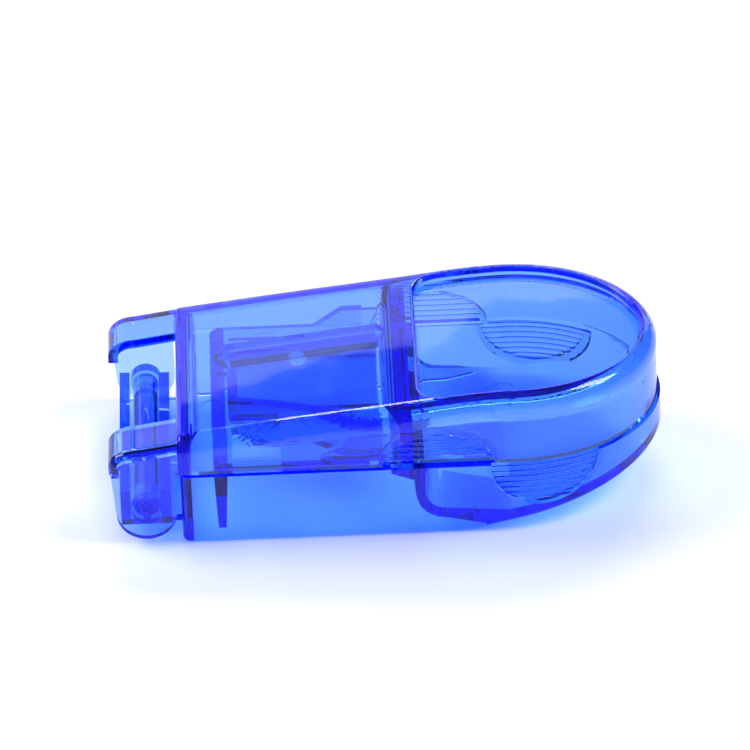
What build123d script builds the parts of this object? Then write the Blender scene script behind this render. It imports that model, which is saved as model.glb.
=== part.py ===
from build123d import *
import os

os.makedirs("parts", exist_ok=True)

# Pill splitter: a see-through case with a hinged lid. The blade hangs from the lid and comes down into a
# V-shaped pill holder; the rounded nose of the case is a store for cut pills.
# Frame: +X runs from the hinge to the nose, +Z is up, the origin is under the middle of the closed case, on
# the surface it stands on. All sizes are in millimetres.

# Case
HALF_WIDTH = 19.5
END_X = -30.8
NOSE_X = 19.1
TIP_X = 41.4
SPLIT_Z = 11.7
WALL = 1.5
END_WALL = 1.6
CORNER_R = 1.2
EDGE_R = 1.0
FOOT_R = 0.7
REACH = 60.0
NEAR = 0.1

# Underside, which rises towards the nose
RISE_X = 11.2
RISE_SLOPE = 0.225
RISE_BLEND_R = 15.0

# Walls across the case
CROSS_WALL_X = (-25.9, -23.7)
CROSS_WALL_FOOT_X = (-25.45, -24.3)
CROSS_WALL_FOOT_Z = 1.9
DIVIDER_X = (3.4, 5.4)
FLOOR_BEND_Z = 6.6
FLOOR_BEND_R = 3.0
FLOOR_BEND_TOP_Z = 4.2
FLOOR_LOW_X = 17.7
FLOOR_LOW_Z = 3.1
DIVIDER_LEAN = 0.6
FLOOR_UNDER = [(8.6, 2.1), (20.0, -0.5)]
SHELF_X = 0.4
SHELF_THICK = 1.3
SHELF_ROOT = 0.3

# Lid
LID_HALF_WIDTH = 19.1
LID_TIP_X = 40.9
LID_END_X = -31.1
LID_GAP = 0.2
LID_WALL = 1.6
LID_PLATE = 1.6
LID_EDGE_R = 2.7
LID_ROOM_R = 2.2
LID_TOP = [(-31.1, 17.65), (-12.0, 20.0), (4.5, 21.9), (19.1, 23.2)]
LID_TOP_START = (1, 0.12)
RIB_X = (1.9, 3.8)
WINDOW_END_X = 5.0
WINDOW_HALF_WIDTH = 16.3
WINDOW_TIP_X = 38.5
WINDOW_CORNER_R = 3.6
WINDOW_DEPTH = 1.3
WINDOW_RIM_R = 0.5
LID_END_R = 0.8

# Round marks of the moulding's ejector pins on the underside of the lid
EJECTOR_R = 1.65
EJECTOR_DEPTH = 0.1
EJECTOR_LOW = (-25.7, -9.6)
EJECTOR_HIGH = (17.4, -13.4)

# Finger grips, each a shallow half ellipse with level ribs
GRIP_DEPTH = 0.8
GRIP_RIB = 0.45
GRIP_RIB_HEIGHT = 0.4
GRIP_PITCH = 0.95
GRIP_RIM = 0.6
BASE_RIBS = 7
LID_RIBS = 5
LID_GRIP_X = 7.45
LID_GRIP_SIZE = (8.3, 5.6)
BASE_GRIP_X = 23.2
BASE_GRIP_SIZE = (8.0, 7.3)

# Hinge
PIVOT_X = -36.0
PIVOT_Z = 5.2
BARREL_R = 1.9
BORE_R = 1.05
STUB_R = 1.0
BARREL_HALF = 15.5
BORE_DEPTH = 3.4
STUB_TIP_Y = 12.6
STUB_BOSS_R = 2.3
STUB_BOSS_Y = 15.8
BLOCK_LEFT_X = (-39.9, -38.4)
BLOCK_LEFT_Z = 7.4
BLOCK_RIGHT_X = (-34.0, -32.4)
BLOCK_RIGHT_Z = 7.2
BLOCK_FLOOR_Z = (1.4, 2.5)
BARREL_WEB = 1.2

# Ears of the lid, one at each side of the hinge
EAR_INNER_Y = 11.5
EAR_X = -41.4
EAR_CORNER = (4.2, 3.0)
EAR_EDGE_R = 1.6
EAR_TOP_Z = (16.0, 16.95)
EAR_PLATE_LEFT_X = -41.0
EAR_PLATE_R = 4.45
EAR_PLATE_RIGHT_X = -31.55

# Pill holder
HOLDER_Y = 4.6
HOLDER_X = (-25.9, 1.4)
HOLDER_HALF_WIDTH = 17.2
HOLDER_PLATE = 1.2
HOLDER_LIFT = 0.05
HOLDER_CORNER_R = 2.0
CHANNEL_BOTTOM_Z = 5.0
CHANNEL_FLOOR = 1.2
CHANNEL_WALL = 1.5
CHANNEL_FOOT = [
    (-23.4, 1.9), (-18.5, 3.2), (-15.0, 5.0), (-12.0, 6.3), (-9.0, 8.4), (-5.7, 10.1), (-0.6, 10.4)
]
CHANNEL_RIM = [
    (-23.4, 8.3), (-18.2, 9.05), (-15.5, 9.6), (-13.0, 10.3), (-9.5, 11.4), (-6.4, 12.4), (-0.6, 12.6)
]
FOOT_MIN_HALF = 0.6
SLOT_WIDTH = 1.0
SLOT_X = (-25.0, 0.4)
TAB_THICK = 1.4
TAB_HEIGHT = 3.1
TAB_X = (-10.2, -5.8, 0.2)
WINDOW_X = (-23.0, -15.8)
WINDOW_FAR_Y = (14.2, 15.8)
WINDOW_NEAR_Y = (-15.8, -6.4)
NOTCH_X = -2.7
NOTCH_HALF_WIDTH = 16.4

# Blade and the boat-shaped clamp that holds it under the lid
CLAMP_X = (-25.2, 0.9)
CLAMP_SHOULDER = 1.7
CLAMP_HALF_WIDTH = 1.8
CLAMP_DEPTH = 2.0
CLAMP_SLOT_DEPTH = 1.6
CLAMP_SLOT = 0.44
BLADE_THICK = 0.4
BLADE_TIP_THICK = 0.04
BLADE_TOP_GAP = 0.05
BLADE_X = (-22.9, -0.9)
BLADE_EDGE_Z = 5.4
BLADE_BEVEL = 1.2
BLADE_HOLE_R = 1.5
BLADE_HOLE = (-12.75, 15.5)
BLADE_SWEEP_R = 14.3


def plan_outline(half_width, tip_x, end_x, corner_r):
    """Plan of the case: straight sides with a half-elliptical nose."""
    with BuildSketch() as plan:
        with BuildLine():
            Polyline((NOSE_X, half_width), (end_x, half_width), (end_x, -half_width), (NOSE_X, -half_width))
            EllipticalCenterArc((NOSE_X, 0), tip_x - NOSE_X, half_width, -90, arc_size=180)
        make_face()
        if corner_r:
            fillet(plan.vertices().group_by(Axis.X)[0], radius=corner_r)
    return plan.sketch


def below_lid_top(depth):
    """Side view of everything below a surface that is this depth under the top of the lid."""
    end_point = LID_TOP[-1]
    with BuildSketch(Plane.XZ) as side:
        with BuildLine():
            Spline([(x, z - depth) for x, z in LID_TOP], tangents=(LID_TOP_START, (1, 0)))
            Polyline(
                (end_point[0], end_point[1] - depth),
                (REACH, end_point[1] - depth),
                (REACH, -REACH),
                (LID_TOP[0][0], -REACH),
                (LID_TOP[0][0], LID_TOP[0][1] - depth),
            )
        make_face()
    return side.sketch


def half_ellipse(centre_x, size, upward, grow):
    """Half-elliptical grip outline in side view, standing on the split line or hanging from it."""
    sign = 1 if upward else -1
    with BuildSketch(Plane.XZ) as side:
        with Locations((centre_x, SPLIT_Z)):
            Ellipse(size[0] + grow, size[1] + grow)
        with Locations((centre_x, SPLIT_Z + sign * size[1])):
            Rectangle(4 * size[0], 2 * size[1], mode=Mode.INTERSECT)
    return side.sketch


def grip_layer(outer, inner, region):
    """Solid between two plan outlines, kept only inside the grip's side view."""
    with BuildPart() as layer:
        with BuildSketch():
            add(outer)
            add(inner, mode=Mode.SUBTRACT)
        extrude(amount=REACH / 2)
        with BuildSketch(Plane.XZ):
            add(region)
        extrude(amount=REACH, both=True, mode=Mode.INTERSECT)
    return layer.part


def grip_ribs(outer, inner, region, first_z, step, count):
    """Level ribs that stand on the floor of a grip."""
    with BuildPart() as ribs:
        for index in range(count):
            with BuildSketch(Plane.XY.offset(first_z + step * index)):
                add(outer)
                add(inner, mode=Mode.SUBTRACT)
            extrude(amount=GRIP_RIB_HEIGHT)
        with BuildSketch(Plane.XZ):
            add(region)
        extrude(amount=REACH, both=True, mode=Mode.INTERSECT)
    return ribs.part


def channel_outline(stations, shrink, start_x, end_x):
    """Plan of the V-shaped channel at one height, from its narrow end to its open end."""
    points = [(x, half - shrink) for x, half in stations if start_x < x < end_x]
    first = max(stations[0][1] - shrink, FOOT_MIN_HALF)
    points = [(start_x, first)] + points + [(end_x, stations[-1][1] - shrink)]
    with BuildSketch() as plan:
        with BuildLine():
            Spline([(x, HOLDER_Y + half) for x, half in points])
            Line((end_x, HOLDER_Y + points[-1][1]), (end_x, HOLDER_Y - points[-1][1]))
            Spline([(x, HOLDER_Y - half) for x, half in reversed(points)])
            Line((start_x, HOLDER_Y - first), (start_x, HOLDER_Y + first))
        make_face()
    return plan.sketch


def ejector_mark(centre, ceiling_depth):
    """Round cutter that reaches a little above the underside of the lid."""
    with BuildPart() as mark:
        with BuildSketch(Plane.XY.offset(SPLIT_Z)):
            with Locations(centre):
                Circle(EJECTOR_R)
        extrude(amount=REACH / 2)
        with BuildSketch(Plane.XZ):
            add(below_lid_top(ceiling_depth - EJECTOR_DEPTH))
        extrude(amount=REACH, both=True, mode=Mode.INTERSECT)
    return mark.part


# Store: the room behind the divider, with a floor that bends up into the divider
with BuildPart() as store_room:
    with BuildSketch():
        add(plan_outline(HALF_WIDTH - WALL, TIP_X - WALL, DIVIDER_X[1], EDGE_R))
    extrude(amount=SPLIT_Z + EDGE_R)
    floor_bend = (DIVIDER_X[1], FLOOR_BEND_TOP_Z)
    floor_low = (FLOOR_LOW_X, FLOOR_LOW_Z)
    floor_tip = (REACH, FLOOR_LOW_Z + RISE_SLOPE * (REACH - FLOOR_LOW_X))
    with BuildSketch(Plane.XZ):
        with BuildLine():
            blend = FilletPolyline(
                (DIVIDER_X[1], SPLIT_Z + EDGE_R), floor_bend, floor_low, floor_tip, radius=FLOOR_BEND_R
            )
            Polyline(blend @ 1, (REACH, -REACH), (0, -REACH), (0, SPLIT_Z + EDGE_R), blend @ 0)
        make_face()
    extrude(amount=REACH, both=True, mode=Mode.SUBTRACT)

# Cutting room: in front of the divider, open below
with BuildPart() as cutting_room:
    with BuildSketch(Plane.XZ):
        with BuildLine():
            Polyline(
                FLOOR_UNDER[-1],
                (CROSS_WALL_FOOT_X[1], FLOOR_UNDER[-1][1]),
                (CROSS_WALL_FOOT_X[1], CROSS_WALL_FOOT_Z),
                (CROSS_WALL_X[1], SPLIT_Z + EDGE_R),
                (DIVIDER_X[0], SPLIT_Z + EDGE_R),
                (DIVIDER_X[0] + DIVIDER_LEAN, FLOOR_BEND_Z),
            )
            Spline(
                [(DIVIDER_X[0] + DIVIDER_LEAN, FLOOR_BEND_Z), FLOOR_UNDER[0]],
                tangents=((0.1, -1), (1, -0.1)),
            )
            Polyline(*FLOOR_UNDER)
        make_face()
    extrude(amount=HALF_WIDTH - WALL, both=True)

# Room at the hinge end, open below
with BuildPart() as end_room:
    with BuildSketch(Plane.XZ):
        Polygon(
            (END_X + END_WALL, -EDGE_R),
            (CROSS_WALL_FOOT_X[1], -EDGE_R),
            (CROSS_WALL_FOOT_X[1], CROSS_WALL_FOOT_Z),
            (CROSS_WALL_FOOT_X[0], CROSS_WALL_FOOT_Z),
            (CROSS_WALL_X[0], SPLIT_Z + EDGE_R),
            (END_X + END_WALL, SPLIT_Z + EDGE_R),
            align=None,
        )
    extrude(amount=HALF_WIDTH - WALL, both=True)

base_skin = plan_outline(HALF_WIDTH, TIP_X, END_X, CORNER_R)
base_grip_floor = plan_outline(HALF_WIDTH - GRIP_DEPTH, TIP_X - GRIP_DEPTH, END_X, CORNER_R)
base_rib_top = plan_outline(
    HALF_WIDTH - GRIP_DEPTH + GRIP_RIB, TIP_X - GRIP_DEPTH + GRIP_RIB, END_X, CORNER_R
)
base_lining = plan_outline(HALF_WIDTH - WALL, TIP_X - WALL, END_X, CORNER_R)
base_grip_back = plan_outline(
    HALF_WIDTH - WALL - GRIP_DEPTH, TIP_X - WALL - GRIP_DEPTH, END_X, CORNER_R
)
base_grip = half_ellipse(BASE_GRIP_X, BASE_GRIP_SIZE, False, 0)
base_grip_grown = half_ellipse(BASE_GRIP_X, BASE_GRIP_SIZE, False, GRIP_RIM)

# Base: the boat-shaped lower half with its walls, store and hinge block
with BuildPart() as base:
    with BuildSketch():
        add(base_skin)
    extrude(amount=SPLIT_Z)
    with BuildSketch(Plane.XZ):
        Polygon(
            (RISE_X, 0),
            (REACH, RISE_SLOPE * (REACH - RISE_X)),
            (REACH, -REACH),
            (RISE_X - REACH, -REACH),
            (RISE_X - REACH, 0),
            align=None,
        )
    extrude(amount=REACH, both=True, mode=Mode.SUBTRACT)
    bend = base.edges().filter_by(Axis.Y).filter_by_position(Axis.X, RISE_X - NEAR, RISE_X + NEAR)
    fillet(bend, radius=RISE_BLEND_R)
    underside = base.faces().filter_by(lambda face: face.normal_at().Z < -0.9)
    across = base.edges().filter_by(Axis.Y).filter_by_position(Axis.X, END_X + 1.0, TIP_X)
    foot_edges = [edge for edge in underside.edges() if edge not in across]
    fillet(foot_edges, radius=FOOT_R)
    add(store_room.part, mode=Mode.SUBTRACT)
    add(cutting_room.part, mode=Mode.SUBTRACT)
    add(end_room.part, mode=Mode.SUBTRACT)
    # ledge on the divider that carries the pill holder
    with BuildSketch(Plane.XZ):
        Polygon(
            (SHELF_X, SPLIT_Z),
            (SHELF_X, SPLIT_Z - SHELF_THICK),
            (DIVIDER_X[0] + SHELF_ROOT, SPLIT_Z - 2 * SHELF_THICK),
            (DIVIDER_X[0] + SHELF_ROOT, SPLIT_Z),
            align=None,
        )
    extrude(amount=HALF_WIDTH - WALL / 2, both=True)
    add(grip_layer(base_lining, base_grip_back, base_grip_grown))
    add(grip_layer(base_skin, base_grip_floor, base_grip), mode=Mode.SUBTRACT)
    add(grip_ribs(base_rib_top, base_lining, base_grip, SPLIT_Z - GRIP_PITCH, -GRIP_PITCH, BASE_RIBS))
    # hinge block: two walls, a floor and the barrel on a web
    with BuildSketch(Plane.XZ):
        Polygon(
            (BLOCK_LEFT_X[0], BLOCK_LEFT_Z),
            (BLOCK_LEFT_X[0], BLOCK_FLOOR_Z[0]),
            (END_X + EDGE_R, BLOCK_FLOOR_Z[0]),
            (END_X + EDGE_R, BLOCK_FLOOR_Z[1]),
            (BLOCK_RIGHT_X[1], BLOCK_FLOOR_Z[1]),
            (BLOCK_RIGHT_X[1], BLOCK_RIGHT_Z),
            (BLOCK_RIGHT_X[0], BLOCK_RIGHT_Z),
            (BLOCK_RIGHT_X[0], BLOCK_FLOOR_Z[1]),
            (BLOCK_LEFT_X[1], BLOCK_FLOOR_Z[1]),
            (BLOCK_LEFT_X[1], BLOCK_LEFT_Z),
            align=None,
        )
        with Locations((PIVOT_X, (PIVOT_Z + BLOCK_FLOOR_Z[0]) / 2)):
            Rectangle(BARREL_WEB, PIVOT_Z - BLOCK_FLOOR_Z[0])
        with Locations((PIVOT_X, PIVOT_Z)):
            Circle(BARREL_R)
    extrude(amount=BARREL_HALF, both=True)
    for side in (-1, 1):
        with BuildSketch(Plane.XZ.offset(-side * BARREL_HALF)):
            with Locations((PIVOT_X, PIVOT_Z)):
                Circle(BORE_R)
        extrude(amount=side * BORE_DEPTH, mode=Mode.SUBTRACT)
base.part.label = "base"

lid_skin = plan_outline(LID_HALF_WIDTH, LID_TIP_X, LID_END_X, 0)
lid_grip_floor = plan_outline(LID_HALF_WIDTH - GRIP_DEPTH, LID_TIP_X - GRIP_DEPTH, LID_END_X, 0)
lid_rib_top = plan_outline(
    LID_HALF_WIDTH - GRIP_DEPTH + GRIP_RIB, LID_TIP_X - GRIP_DEPTH + GRIP_RIB, LID_END_X, 0
)
lid_lining = plan_outline(LID_HALF_WIDTH - LID_WALL, LID_TIP_X - LID_WALL, LID_END_X, 0)
lid_grip_back = plan_outline(
    LID_HALF_WIDTH - LID_WALL - GRIP_DEPTH, LID_TIP_X - LID_WALL - GRIP_DEPTH, LID_END_X, 0
)
lid_grip = half_ellipse(LID_GRIP_X, LID_GRIP_SIZE, True, 0)
lid_grip_grown = half_ellipse(LID_GRIP_X, LID_GRIP_SIZE, True, GRIP_RIM)
lid_base_z = SPLIT_Z + LID_GAP

# Rooms under the lid, either side of its cross rib; the one under the window is less tall
with BuildPart() as lid_rooms:
    with BuildSketch():
        add(plan_outline(LID_HALF_WIDTH - LID_WALL, LID_TIP_X - LID_WALL, LID_END_X + LID_WALL, 0))
    extrude(amount=REACH / 2)
    with BuildSketch(Plane.XZ):
        add(below_lid_top(LID_PLATE))
    extrude(amount=REACH, both=True, mode=Mode.INTERSECT)
    with BuildSketch(Plane.XZ):
        with Locations((RIB_X[0], 0)):
            Rectangle(REACH, REACH, align=(Align.MIN, Align.CENTER))
        add(below_lid_top(WINDOW_DEPTH + LID_PLATE), mode=Mode.SUBTRACT)
        with Locations((RIB_X[0], 0)):
            Rectangle(RIB_X[1] - RIB_X[0], REACH, align=(Align.MIN, Align.CENTER))
    extrude(amount=REACH, both=True, mode=Mode.SUBTRACT)
    ceiling = lid_rooms.faces().filter_by(lambda face: face.normal_at().Z > 0.9).edges()
    room_crossing = lid_rooms.edges().filter_by(Axis.Y)
    fillet([edge for edge in ceiling if edge not in room_crossing], radius=LID_ROOM_R)

# Sunk D-shaped window over the store
with BuildPart() as window_recess:
    with BuildSketch():
        add(plan_outline(WINDOW_HALF_WIDTH, WINDOW_TIP_X, WINDOW_END_X, WINDOW_CORNER_R))
    extrude(amount=REACH / 2)
    with BuildSketch(Plane.XZ):
        add(below_lid_top(WINDOW_DEPTH))
    extrude(amount=REACH, both=True, mode=Mode.SUBTRACT)

# Outside of the lid, solid inside
with BuildPart() as lid_shape:
    with BuildSketch(Plane.XY.offset(lid_base_z)):
        add(lid_skin)
    extrude(amount=REACH / 2)
    with BuildSketch(Plane.XZ):
        add(below_lid_top(0))
    extrude(amount=REACH, both=True, mode=Mode.INTERSECT)
    top_edges = lid_shape.faces().filter_by(lambda face: face.normal_at().Z > 0.9).edges()
    crossing = lid_shape.edges().filter_by(Axis.Y)
    rim = [edge for edge in top_edges if edge not in crossing]
    fillet(rim, radius=LID_EDGE_R)
    end_edges = lid_shape.faces().sort_by(Axis.X)[0].edges()
    fillet(end_edges.sort_by(Axis.Z)[-1], radius=LID_END_R)
    add(window_recess.part, mode=Mode.SUBTRACT)
    recess_walls = lid_shape.faces(Select.LAST).filter_by(lambda face: abs(face.normal_at().Z) < 0.1)
    mouth = [wall.edges().filter_by(Axis.Z, reverse=True).sort_by(Axis.Z)[-1] for wall in recess_walls]
    fillet(mouth, radius=WINDOW_RIM_R)

# Blade clamp: the boat-shaped block under the lid
with BuildPart() as clamp:
    with BuildSketch():
        Polygon(
            (CLAMP_X[0], HOLDER_Y),
            (CLAMP_X[0] + CLAMP_SHOULDER, HOLDER_Y + CLAMP_HALF_WIDTH),
            (CLAMP_X[1] - CLAMP_SHOULDER, HOLDER_Y + CLAMP_HALF_WIDTH),
            (CLAMP_X[1], HOLDER_Y),
            (CLAMP_X[1] - CLAMP_SHOULDER, HOLDER_Y - CLAMP_HALF_WIDTH),
            (CLAMP_X[0] + CLAMP_SHOULDER, HOLDER_Y - CLAMP_HALF_WIDTH),
            align=None,
        )
    extrude(amount=REACH / 2)
    with BuildSketch(Plane.XZ):
        add(below_lid_top(LID_PLATE / 2))
        add(below_lid_top(LID_PLATE + CLAMP_DEPTH), mode=Mode.SUBTRACT)
    extrude(amount=REACH, both=True, mode=Mode.INTERSECT)

# Slot in the clamp for the blade
with BuildPart() as clamp_slot:
    with BuildSketch():
        with Locations(((BLADE_X[0] + BLADE_X[1]) / 2, HOLDER_Y)):
            Rectangle(BLADE_X[1] - BLADE_X[0] + CLAMP_SLOT - BLADE_THICK, CLAMP_SLOT)
    extrude(amount=REACH / 2)
    with BuildSketch(Plane.XZ):
        add(below_lid_top(LID_PLATE + CLAMP_DEPTH - CLAMP_SLOT_DEPTH))
    extrude(amount=REACH, both=True, mode=Mode.INTERSECT)

# Ears at both sides of the hinge, each with a rounded side plate, a boss and a stub for the barrel
with BuildPart() as ears:
    with BuildSketch(Plane.XZ.offset(-EAR_INNER_Y)):
        with BuildLine():
            ear_bend = (EAR_X + EAR_CORNER[0], EAR_TOP_Z[0] - EAR_CORNER[1])
            EllipticalCenterArc(ear_bend, *EAR_CORNER, 90, arc_size=90)
            Polyline(
                (EAR_X, ear_bend[1]),
                (EAR_X, lid_base_z),
                (LID_END_X + WALL / 2, lid_base_z),
                (LID_END_X + WALL / 2, EAR_TOP_Z[1]),
                (LID_END_X, EAR_TOP_Z[1]),
                (ear_bend[0], EAR_TOP_Z[0]),
            )
        make_face()
    extrude(amount=EAR_INNER_Y - LID_HALF_WIDTH)
    side_edges = ears.faces().sort_by(Axis.Y)[-1].edges()
    side_top = side_edges.filter_by_position(Axis.Z, lid_base_z + NEAR, REACH)
    fillet(side_top.filter_by_position(Axis.X, -REACH, LID_END_X + WALL / 2 - NEAR), radius=EAR_EDGE_R)
    with BuildSketch(Plane.XZ.offset(-EAR_INNER_Y)):
        with BuildLine():
            EllipticalCenterArc(ear_bend, EAR_CORNER[0] - WALL, EAR_CORNER[1] - WALL, 90, arc_size=90)
            Polyline(
                (EAR_X + WALL, ear_bend[1]),
                (EAR_X + WALL, lid_base_z - WALL),
                (LID_END_X, lid_base_z - WALL),
                (LID_END_X, EAR_TOP_Z[1] - WALL),
                (ear_bend[0], EAR_TOP_Z[0] - WALL),
            )
        make_face()
    extrude(amount=EAR_INNER_Y - LID_HALF_WIDTH + WALL, mode=Mode.SUBTRACT)
    with BuildSketch(Plane.XZ.offset(-LID_HALF_WIDTH)):
        with BuildLine():
            Polyline(
                (PIVOT_X - EAR_PLATE_R, PIVOT_Z),
                (EAR_PLATE_LEFT_X, lid_base_z),
                (EAR_PLATE_RIGHT_X, lid_base_z),
                (PIVOT_X + EAR_PLATE_R, PIVOT_Z),
            )
            CenterArc((PIVOT_X, PIVOT_Z), EAR_PLATE_R, 0, -180)
        make_face()
    extrude(amount=WALL)
    with BuildSketch(Plane.XZ.offset(WALL / 2 - LID_HALF_WIDTH)):
        with Locations((PIVOT_X, PIVOT_Z)):
            Circle(STUB_BOSS_R)
    extrude(amount=LID_HALF_WIDTH - WALL / 2 - STUB_BOSS_Y)
    with BuildSketch(Plane.XZ.offset(-STUB_BOSS_Y)):
        with Locations((PIVOT_X, PIVOT_Z)):
            Circle(STUB_R)
    extrude(amount=STUB_BOSS_Y - STUB_TIP_Y)
    mirror(about=Plane.XZ)

# Lid with its window, grips, cross rib, blade clamp, ears and hinge stubs
with BuildPart() as lid:
    add(lid_shape.part)
    add(lid_rooms.part, mode=Mode.SUBTRACT)
    add(grip_layer(lid_lining, lid_grip_back, lid_grip_grown))
    add(grip_layer(lid_skin, lid_grip_floor, lid_grip), mode=Mode.SUBTRACT)
    add(grip_ribs(lid_rib_top, lid_lining, lid_grip, SPLIT_Z + GRIP_PITCH, GRIP_PITCH, LID_RIBS))
    with BuildSketch(Plane.XZ):
        with Locations((0, lid_base_z - REACH / 2)):
            Rectangle(4 * REACH, REACH)
    extrude(amount=REACH, both=True, mode=Mode.SUBTRACT)
    add(clamp.part)
    add(clamp_slot.part, mode=Mode.SUBTRACT)
    add(ejector_mark(EJECTOR_LOW, LID_PLATE), mode=Mode.SUBTRACT)
    add(ejector_mark(EJECTOR_HIGH, LID_PLATE + WINDOW_DEPTH), mode=Mode.SUBTRACT)
    add(ears.part)
lid.part.label = "lid"

# Blade: a thin steel plate with a bevelled cutting edge and one hole
with BuildPart() as blade:
    with BuildSketch(Plane.XZ.offset(-HOLDER_Y)):
        add(below_lid_top(LID_PLATE + CLAMP_DEPTH - CLAMP_SLOT_DEPTH + BLADE_TOP_GAP))
        with Locations(((BLADE_X[0] + BLADE_X[1]) / 2, BLADE_EDGE_Z + REACH / 2)):
            Rectangle(BLADE_X[1] - BLADE_X[0], REACH, mode=Mode.INTERSECT)
        with Locations(BLADE_HOLE):
            Circle(BLADE_HOLE_R, mode=Mode.SUBTRACT)
        # the corner nearest the hinge is cut back so that it swings clear of the cross wall
        with Locations((PIVOT_X, PIVOT_Z)):
            Circle(BLADE_SWEEP_R, mode=Mode.SUBTRACT)
    extrude(amount=BLADE_THICK / 2, both=True)
    with BuildSketch(Plane.YZ):
        Polygon(
            (HOLDER_Y - BLADE_TIP_THICK / 2, BLADE_EDGE_Z),
            (HOLDER_Y + BLADE_TIP_THICK / 2, BLADE_EDGE_Z),
            (HOLDER_Y + BLADE_THICK / 2, BLADE_EDGE_Z + BLADE_BEVEL),
            (HOLDER_Y + BLADE_THICK / 2, REACH),
            (HOLDER_Y - BLADE_THICK / 2, REACH),
            (HOLDER_Y - BLADE_THICK / 2, BLADE_EDGE_Z + BLADE_BEVEL),
            align=None,
        )
    extrude(amount=REACH, both=True, mode=Mode.INTERSECT)
blade.part.label = "blade"

plate_top_z = SPLIT_Z + HOLDER_PLATE
channel_start = CHANNEL_FOOT[0][0]
channel_end = CHANNEL_FOOT[-1][0]

room_span = (channel_start + CHANNEL_WALL, channel_end + CHANNEL_WALL)

# V-shaped channel as a block
with BuildPart() as channel_shape:
    with BuildSketch(Plane.XY.offset(CHANNEL_BOTTOM_Z)):
        add(channel_outline(CHANNEL_FOOT, 0, channel_start, channel_end))
    with BuildSketch(Plane.XY.offset(plate_top_z)):
        add(channel_outline(CHANNEL_RIM, 0, channel_start, channel_end))
    loft(ruled=True)

# Space inside the V-shaped channel, open at its wide end
with BuildPart() as channel_room:
    with BuildSketch(Plane.XY.offset(CHANNEL_BOTTOM_Z + CHANNEL_FLOOR)):
        add(channel_outline(CHANNEL_FOOT, CHANNEL_WALL, *room_span))
    with BuildSketch(Plane.XY.offset(plate_top_z + EDGE_R / 2)):
        add(channel_outline(CHANNEL_RIM, CHANNEL_WALL, *room_span))
    loft(ruled=True)

# Pill holder: a plate with a V-shaped channel that opens towards the nose
with BuildPart() as pill_holder:
    with BuildSketch(Plane.XY.offset(SPLIT_Z + HOLDER_LIFT)):
        with Locations(((HOLDER_X[0] + HOLDER_X[1]) / 2, 0)):
            RectangleRounded(HOLDER_X[1] - HOLDER_X[0], 2 * HOLDER_HALF_WIDTH, HOLDER_CORNER_R)
    extrude(amount=HOLDER_PLATE - HOLDER_LIFT)
    for window_y in (WINDOW_FAR_Y, WINDOW_NEAR_Y):
        with BuildSketch(Plane.XY.offset(SPLIT_Z)):
            with Locations((sum(WINDOW_X) / 2, sum(window_y) / 2)):
                Rectangle(WINDOW_X[1] - WINDOW_X[0], window_y[1] - window_y[0])
        extrude(amount=HOLDER_PLATE, mode=Mode.SUBTRACT)
    add(channel_shape.part)
    for side in (-1, 1):
        with BuildSketch(Plane.XZ.offset(-side * HOLDER_HALF_WIDTH)):
            Polygon(
                (TAB_X[0], plate_top_z - HOLDER_PLATE / 2),
                (TAB_X[0], plate_top_z),
                (TAB_X[1], plate_top_z + TAB_HEIGHT),
                (TAB_X[2], plate_top_z + TAB_HEIGHT),
                (TAB_X[2], plate_top_z - HOLDER_PLATE / 2),
                align=None,
            )
        extrude(amount=side * TAB_THICK)
    # room for the back of the lid's grips
    with BuildSketch(Plane.XY.offset(SPLIT_Z)):
        with Locations((NOTCH_X, 0)):
            Rectangle(REACH, 2 * REACH, align=(Align.MIN, Align.CENTER))
            Rectangle(REACH, 2 * NOTCH_HALF_WIDTH, align=(Align.MIN, Align.CENTER), mode=Mode.SUBTRACT)
    extrude(amount=REACH, mode=Mode.SUBTRACT)
    add(channel_room.part, mode=Mode.SUBTRACT)
    with BuildSketch(Plane.XY.offset(CHANNEL_BOTTOM_Z - EDGE_R)):
        with Locations((sum(SLOT_X) / 2, HOLDER_Y)):
            Rectangle(SLOT_X[1] - SLOT_X[0], SLOT_WIDTH)
    extrude(amount=plate_top_z - CHANNEL_BOTTOM_Z + 2 * EDGE_R, mode=Mode.SUBTRACT)
pill_holder.part.label = "pill_holder"

for built in (base, lid, blade, pill_holder):
    export_step(built.part, f"parts/{built.part.label}.step")
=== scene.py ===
import math

import bpy
from mathutils import Matrix, Vector


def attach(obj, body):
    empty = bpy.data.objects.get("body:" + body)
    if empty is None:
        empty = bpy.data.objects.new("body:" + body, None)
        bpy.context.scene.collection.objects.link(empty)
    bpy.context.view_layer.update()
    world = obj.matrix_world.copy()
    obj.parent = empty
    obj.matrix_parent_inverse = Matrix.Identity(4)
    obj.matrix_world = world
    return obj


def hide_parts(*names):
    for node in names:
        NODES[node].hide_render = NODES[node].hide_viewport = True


MM = 0.001
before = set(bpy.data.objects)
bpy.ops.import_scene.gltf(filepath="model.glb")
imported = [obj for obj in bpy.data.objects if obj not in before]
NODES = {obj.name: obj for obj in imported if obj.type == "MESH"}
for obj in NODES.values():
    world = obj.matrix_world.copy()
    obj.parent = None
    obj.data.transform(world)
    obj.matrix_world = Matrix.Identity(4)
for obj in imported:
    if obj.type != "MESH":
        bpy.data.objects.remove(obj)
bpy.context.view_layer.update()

# Blue plastic: light lost per metre in red, green and blue, and the tint of light that passes to the floor
ABSORB = (600.0, 300.0, 9.0)
LAMP_TINT = (0.93, 0.915, 0.98)
PLASTIC_IOR = 1.5
PLASTIC_SHADES = ((0.97, 0.98, 1.0, 1), (1.0, 1.0, 1.0, 1))
PLASTIC_ROUGHNESS = (0.0, 0.04)
CLOUD_SCALE = 90.0
POLISH_SCALE = 260.0
WAVE_SCALE = 120.0
WAVE_STRENGTH = 0.12
WAVE_DEPTH = 0.04 * MM
SEED_STEPS = (1.0, 0.37, -1.0)

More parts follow.
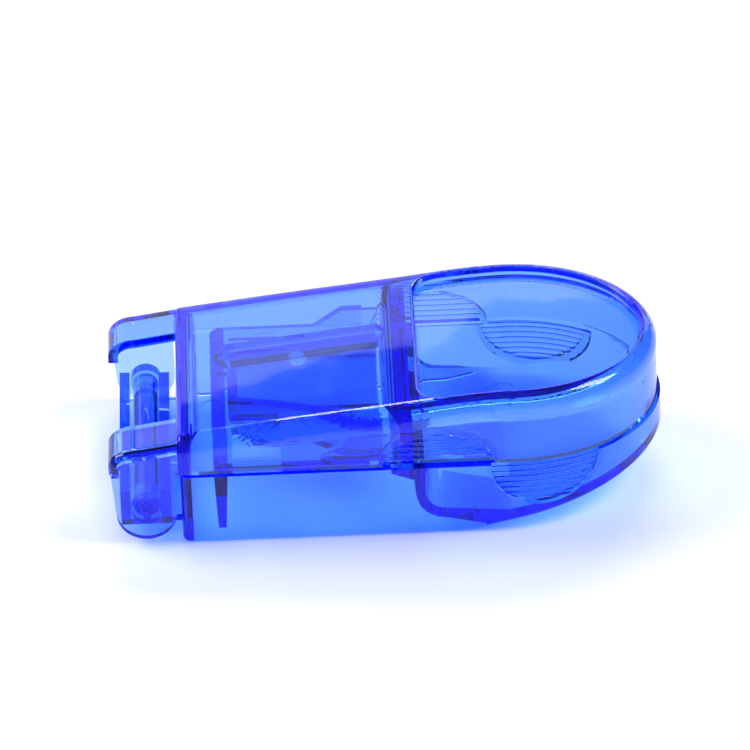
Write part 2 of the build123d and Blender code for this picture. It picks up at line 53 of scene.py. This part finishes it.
# Blade steel
STEEL_SHADES = ((0.74, 0.75, 0.78, 1), (0.86, 0.87, 0.89, 1))
STEEL_ROUGHNESS = (0.03, 0.09)
GRIND_STRETCH = (1.0, 1.0, 9.0)
GRIND_SCALE = 420.0
GRIND_STRENGTH = 0.1
GRIND_DEPTH = 0.01 * MM

# Floor, just below the case so that the two don't share a plane
FLOOR_SHADES = ((0.87, 0.87, 0.885, 1), (0.90, 0.90, 0.91, 1))
FLOOR_ROUGHNESS = 0.55
FLOOR_CLOUD_SCALE = 14.0
FLOOR_HALF = 3.0
FLOOR_DROP = 0.02 * MM

# Studio: each softbox's place, the point it faces, its width and height in metres, and its watts
ROOM_COLOUR = (0.96, 0.97, 1.0, 1)
ROOM_STRENGTH = 0.22
MIDDLE = (0, 0, 0)
SOFTBOXES = {
    "right_box": ((0.68, -0.08, 0.88), MIDDLE, (0.36, 0.5), 7.1),
    "left_box": ((-0.80, 0.30, 0.75), MIDDLE, (0.5, 0.6), 7.7),
    "back_box": ((0.10, 0.95, 1.05), MIDDLE, (0.7, 0.25), 6.0),
    "back_wall": ((-0.13, 0.90, 0.361), (-0.13, 0, 0.361), (1.6, 0.5), 3.0),
}

# Camera: the point it faces, its angles in radians and how far away it stands
AIM = Vector((-1.22, 5.72, 11.71)) * MM
TURN, TILT, ROLL, AWAY = -0.0118, 0.5935, -0.0339, 1093 * MM
LENS = 348.3
SENSOR_WIDTH = 36.0
CLIP = (0.05, 20.0)

# Light has to cross many clear walls
CLEAR_BOUNCES = 24
DIFFUSE_BOUNCES = 6
TRANSPARENT_BOUNCES = 32

WELD_DIGITS = 7


# ---------------------------------------------------------------- helpers
def link(obj):
    bpy.context.scene.collection.objects.link(obj)
    return obj


def new_material(name):
    """An empty node material, its tree, and its output node."""
    mat = bpy.data.materials.new(name)
    mat.use_nodes = True
    nt = mat.node_tree
    nt.nodes.clear()
    return mat, nt, nt.nodes.new("ShaderNodeOutputMaterial")


def node(nt, kind, **inputs):
    n = nt.nodes.new(kind)
    for key, value in inputs.items():
        n.inputs[key.replace("_", " ")].default_value = value
    return n


def join(nt, source, target):
    nt.links.new(source, target)


def object_place(nt):
    return nt.nodes.new("ShaderNodeTexCoord").outputs["Object"]


def noise(nt, place, scale, detail=3.0, rough=0.5):
    n = node(nt, "ShaderNodeTexNoise", Scale=scale, Detail=detail, Roughness=rough)
    join(nt, place, n.inputs["Vector"])
    return n.outputs["Fac"]


def value_between(nt, factor, low, high):
    """Maps a 0..1 value on to low..high."""
    m = node(nt, "ShaderNodeMapRange", To_Min=low, To_Max=high)
    join(nt, factor, m.inputs["Value"])
    return m.outputs["Result"]


def colour_between(nt, factor, low, high):
    """Mixes two colours by a 0..1 value."""
    mix = nt.nodes.new("ShaderNodeMix")
    mix.data_type = "RGBA"
    mix.inputs["A"].default_value = low
    mix.inputs["B"].default_value = high
    join(nt, factor, mix.inputs["Factor"])
    return mix.outputs["Result"]


def uneven(nt, height, strength, depth):
    """Normals of a surface that rises and falls a little."""
    bump = node(nt, "ShaderNodeBump", Strength=strength, Distance=depth)
    join(nt, height, bump.inputs["Height"])
    return bump.outputs["Normal"]


# ---------------------------------------------------------------- materials
def blue_plastic(name, seed):
    """See-through blue moulded plastic: clear surface, colour from the depth of material behind it."""
    mat, nt, out = new_material(name)
    shift = nt.nodes.new("ShaderNodeVectorMath")
    shift.operation = "ADD"
    shift.inputs[1].default_value = [seed * step for step in SEED_STEPS]
    join(nt, object_place(nt), shift.inputs[0])
    place = shift.outputs["Vector"]

    glass = node(nt, "ShaderNodeBsdfPrincipled", IOR=PLASTIC_IOR, Transmission_Weight=1.0)
    tint = colour_between(nt, noise(nt, place, CLOUD_SCALE), *PLASTIC_SHADES)
    polish = value_between(nt, noise(nt, place, POLISH_SCALE, detail=4.0), *PLASTIC_ROUGHNESS)
    waves = uneven(nt, noise(nt, place, WAVE_SCALE, detail=2.0), WAVE_STRENGTH, WAVE_DEPTH)
    join(nt, tint, glass.inputs["Base Color"])
    join(nt, polish, glass.inputs["Roughness"])
    join(nt, waves, glass.inputs["Normal"])

    # Shadow rays pass straight through, so the lamps still reach the floor under the case
    lamp = node(nt, "ShaderNodeBsdfTransparent", Color=(*LAMP_TINT, 1))
    path = nt.nodes.new("ShaderNodeLightPath")
    mix = nt.nodes.new("ShaderNodeMixShader")
    join(nt, path.outputs["Is Shadow Ray"], mix.inputs["Fac"])
    join(nt, glass.outputs["BSDF"], mix.inputs[1])
    join(nt, lamp.outputs["BSDF"], mix.inputs[2])
    join(nt, mix.outputs["Shader"], out.inputs["Surface"])

    density = max(ABSORB)
    kept = [1 - loss / density for loss in ABSORB]
    volume = node(nt, "ShaderNodeVolumeAbsorption", Density=density, Color=(*kept, 1))
    join(nt, volume.outputs["Volume"], out.inputs["Volume"])
    return mat


def steel(name):
    """Ground blade steel with fine marks."""
    mat, nt, out = new_material(name)
    stretch = node(nt, "ShaderNodeMapping", Scale=GRIND_STRETCH)
    join(nt, object_place(nt), stretch.inputs["Vector"])
    marks = noise(nt, stretch.outputs["Vector"], GRIND_SCALE, detail=4.0, rough=0.6)
    metal = node(nt, "ShaderNodeBsdfPrincipled", Metallic=1.0)
    join(nt, colour_between(nt, marks, *STEEL_SHADES), metal.inputs["Base Color"])
    join(nt, value_between(nt, marks, *STEEL_ROUGHNESS), metal.inputs["Roughness"])
    join(nt, uneven(nt, marks, GRIND_STRENGTH, GRIND_DEPTH), metal.inputs["Normal"])
    join(nt, metal.outputs["BSDF"], out.inputs["Surface"])
    return mat


def pale_floor(name):
    """Plain pale paper."""
    mat, nt, out = new_material(name)
    paper = node(nt, "ShaderNodeBsdfPrincipled", Roughness=FLOOR_ROUGHNESS)
    clouds = noise(nt, object_place(nt), FLOOR_CLOUD_SCALE)
    join(nt, colour_between(nt, clouds, *FLOOR_SHADES), paper.inputs["Base Color"])
    join(nt, paper.outputs["BSDF"], out.inputs["Surface"])
    return mat


# ---------------------------------------------------------------- pieces
def moulding(node_name, name, body, mat):
    """A plastic piece: the CAD shape as one joined skin, shaded with the CAD surfaces' own normals."""
    source = NODES[node_name].data
    places = {}
    corner = [
        places.setdefault(tuple(round(c, WELD_DIGITS) for c in v.co), len(places)) for v in source.vertices
    ]
    faces = []
    normals = []
    for polygon in source.polygons:
        joined = [corner[index] for index in polygon.vertices]
        if len(set(joined)) == len(joined):
            faces.append(joined)
            normals += [tuple(source.corner_normals[loop].vector) for loop in polygon.loop_indices]
    data = bpy.data.meshes.new(name)
    data.from_pydata(list(places), [], faces)
    data.shade_smooth()
    data.normals_split_custom_set(normals)
    data.materials.append(mat)
    piece = link(bpy.data.objects.new(name, data))
    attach(piece, body)
    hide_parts(node_name)
    return piece


moulding("base", "base_moulding", "case", blue_plastic("case_blue", 0.3))
moulding("lid", "lid_moulding", "cover", blue_plastic("lid_blue", 1.1))
moulding("pill_holder", "holder_moulding", "case", blue_plastic("holder_blue", 2.7))

# The blade is shown as its own CAD node, in steel
NODES["blade"].data.materials.clear()
NODES["blade"].data.materials.append(steel("blade_steel"))

# ---------------------------------------------------------------- floor and light
floor_mesh = bpy.data.meshes.new("floor")
floor_corners = [(-1, -1), (1, -1), (1, 1), (-1, 1)]
floor_mesh.from_pydata([(x * FLOOR_HALF, y * FLOOR_HALF, 0) for x, y in floor_corners], [], [(0, 1, 2, 3)])
floor = link(bpy.data.objects.new("floor", floor_mesh))
floor.location.z = -FLOOR_DROP
floor_mesh.materials.append(pale_floor("floor_paper"))

world = bpy.data.worlds.new("studio")
bpy.context.scene.world = world
world.use_nodes = True
room = world.node_tree.nodes["Background"]
room.inputs["Color"].default_value = ROOM_COLOUR
room.inputs["Strength"].default_value = ROOM_STRENGTH


def softbox(name, place, aim, size, power):
    data = bpy.data.lights.new(name, "AREA")
    data.shape = "RECTANGLE"
    data.size, data.size_y = size
    data.energy = power
    lamp = link(bpy.data.objects.new(name, data))
    lamp.location = place
    lamp.rotation_mode = "QUATERNION"
    lamp.rotation_quaternion = (Vector(aim) - Vector(place)).to_track_quat("-Z", "Y")
    return lamp


for box_name, box in SOFTBOXES.items():
    softbox(box_name, *box)

# ---------------------------------------------------------------- camera
forward = Vector((-math.sin(TURN) * math.cos(TILT), math.cos(TURN) * math.cos(TILT), -math.sin(TILT)))
level = Vector((math.cos(TURN), math.sin(TURN), 0))
upward = level.cross(forward)
right = math.cos(ROLL) * level + math.sin(ROLL) * upward
top = -math.sin(ROLL) * level + math.cos(ROLL) * upward
camera_data = bpy.data.cameras.new("camera")
camera_data.lens = LENS
camera_data.sensor_width = SENSOR_WIDTH
camera_data.clip_start, camera_data.clip_end = CLIP
camera = link(bpy.data.objects.new("camera", camera_data))
axes = Matrix((right, top, -forward)).transposed()
camera.matrix_world = Matrix.Translation(AIM - AWAY * forward) @ axes.to_4x4()
bpy.context.scene.camera = camera

scene = bpy.context.scene
scene.view_settings.view_transform = "Standard"
scene.cycles.max_bounces = CLEAR_BOUNCES
scene.cycles.transmission_bounces = CLEAR_BOUNCES
scene.cycles.glossy_bounces = CLEAR_BOUNCES
scene.cycles.diffuse_bounces = DIFFUSE_BOUNCES
scene.cycles.transparent_max_bounces = TRANSPARENT_BOUNCES
